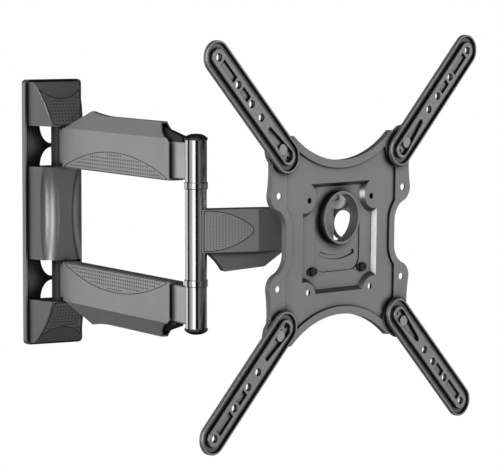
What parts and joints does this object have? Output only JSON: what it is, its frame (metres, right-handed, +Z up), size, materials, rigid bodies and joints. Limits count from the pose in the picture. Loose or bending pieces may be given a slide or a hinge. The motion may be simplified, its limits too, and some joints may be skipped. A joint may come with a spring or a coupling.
{
  "type": "full motion tv wall mount",
  "caption": "Full motion television wall mount: covered wall bracket, twin swinging arms, elbow column, forearm, and a tilting screen plate with four swinging slotted arms.",
  "frame": {"origin": "centre of the wall plate's back face, where it lies on the wall", "axes": "+X right seen from the room, +Y into the wall (the screen side is -Y), +Z up"},
  "size_m": [0.4193, 0.5253, 0.4354],
  "materials": {
    "arm_cover_plastic": "fine grain",
    "arm_dotted_plastic": "small raised dots",
    "bearing_nylon": "smooth",
    "black_plastic": "smooth",
    "bracket_paint": "satin powder coat",
    "dotted_plastic": "small raised dots",
    "fastener_steel": "zinc plated",
    "hinge_paint": "satin powder coat",
    "plate_paint": "satin powder coat",
    "polished_chrome": "polished",
    "satin_grey_paint": "satin powder coat",
    "wall_cover_plastic": "fine grain"
  },
  "bodies": {
    "wall_unit": {"wall_plate": "plate_paint", "hinge_lugs": "hinge_paint", "upper_hinge_pin": "fastener_steel", "lower_hinge_pin": "fastener_steel", "hinge_pin_clips": "fastener_steel", "upper_cover": "wall_cover_plastic", "middle_cover": "wall_cover_plastic", "lower_cover": "wall_cover_plastic", "upper_cover_panel": "dotted_plastic", "lower_cover_panel": "dotted_plastic"},
    "arm_pair": {"upper_wall_barrel": "hinge_paint", "lower_wall_barrel": "hinge_paint", "wall_hinge_bushes": "bearing_nylon", "upper_arm_tube": "bracket_paint", "lower_arm_tube": "bracket_paint", "upper_arm_cover": "arm_cover_plastic", "lower_arm_cover": "arm_cover_plastic", "upper_arm_panels": "arm_dotted_plastic", "lower_arm_panels": "arm_dotted_plastic", "upper_cable_guide": "black_plastic", "lower_cable_guide": "black_plastic", "upper_elbow_barrel": "polished_chrome", "lower_elbow_barrel": "polished_chrome", "elbow_shaft": "fastener_steel", "elbow_top_cap": "black_plastic", "elbow_bottom_cap": "black_plastic", "upper_elbow_collar": "polished_chrome", "lower_elbow_collar": "polished_chrome"},
    "forearm": {"forearm_sleeve": "polished_chrome", "forearm_tube": "bracket_paint", "forearm_barrel": "bracket_paint", "forearm_cover": "arm_cover_plastic", "forearm_end_cover": "wall_cover_plastic", "forearm_panels": "arm_dotted_plastic"},
    "head_swivel": {"swivel_yoke": "bracket_paint", "swivel_pin": "fastener_steel", "swivel_pin_clip": "fastener_steel", "tilt_bolt": "fastener_steel", "tilt_nut": "fastener_steel", "tilt_washers": "bearing_nylon"},
    "tilt_head": {"tilt_bracket": "bracket_paint", "level_hub": "bracket_paint", "level_screws": "black_plastic"},
    "screen_head": {"screen_plate": "satin_grey_paint", "arm_pivot_bolts": "fastener_steel", "arm_pivot_nuts": "fastener_steel"},
    "upper_left_arm": {"upper_left_screen_arm": "satin_grey_paint"},
    "upper_right_arm": {"upper_right_screen_arm": "satin_grey_paint"},
    "lower_left_arm": {"lower_left_screen_arm": "satin_grey_paint"},
    "lower_right_arm": {"lower_right_screen_arm": "satin_grey_paint"}
  },
  "joints": [
    {"name": "wall_swivel", "type": "hinge", "parent": "wall_unit", "child": "arm_pair", "pos_m": [0, -0.026, 0], "axis": [0, 0, 1], "range_deg": [-90, 90]},
    {"name": "elbow", "type": "hinge", "parent": "arm_pair", "child": "forearm", "pos_m": [0, -0.373, 0], "axis": [0, 0, -1], "range_deg": [-80, 120]},
    {"name": "head_swivel", "type": "hinge", "parent": "forearm", "child": "head_swivel", "pos_m": [0.11976, -0.39628, 0], "axis": [0, 0, 1], "range_deg": [-28, 120]},
    {"name": "tilt", "type": "hinge", "parent": "head_swivel", "child": "tilt_head", "pos_m": [0.1274, -0.42113, 0.038], "axis": [0.9558, 0.294, 0], "range_deg": [-6, 11]},
    {"name": "level", "type": "hinge", "parent": "tilt_head", "child": "screen_head", "pos_m": [0.1373, -0.45331, 0.01891], "axis": [0.294, -0.9556, -0.0175], "range_deg": [-3, 3]},
    {"name": "upper_left_arm_swing", "type": "hinge", "parent": "screen_head", "child": "upper_left_arm", "pos_m": [0.04213, -0.48403, 0.0974], "axis": [0.294, -0.9556, -0.0175], "range_deg": [-45, 45]},
    {"name": "upper_right_arm_swing", "type": "hinge", "parent": "screen_head", "child": "upper_right_arm", "pos_m": [0.23329, -0.42522, 0.0974], "axis": [0.294, -0.9556, -0.0175], "range_deg": [-45, 45]},
    {"name": "lower_left_arm_swing", "type": "hinge", "parent": "screen_head", "child": "lower_left_arm", "pos_m": [0.0411, -0.48069, -0.10257], "axis": [0.294, -0.9556, -0.0175], "range_deg": [-45, 45]},
    {"name": "lower_right_arm_swing", "type": "hinge", "parent": "screen_head", "child": "lower_right_arm", "pos_m": [0.23226, -0.42188, -0.10257], "axis": [0.294, -0.9556, -0.0175], "range_deg": [-45, 45]}
  ]
}
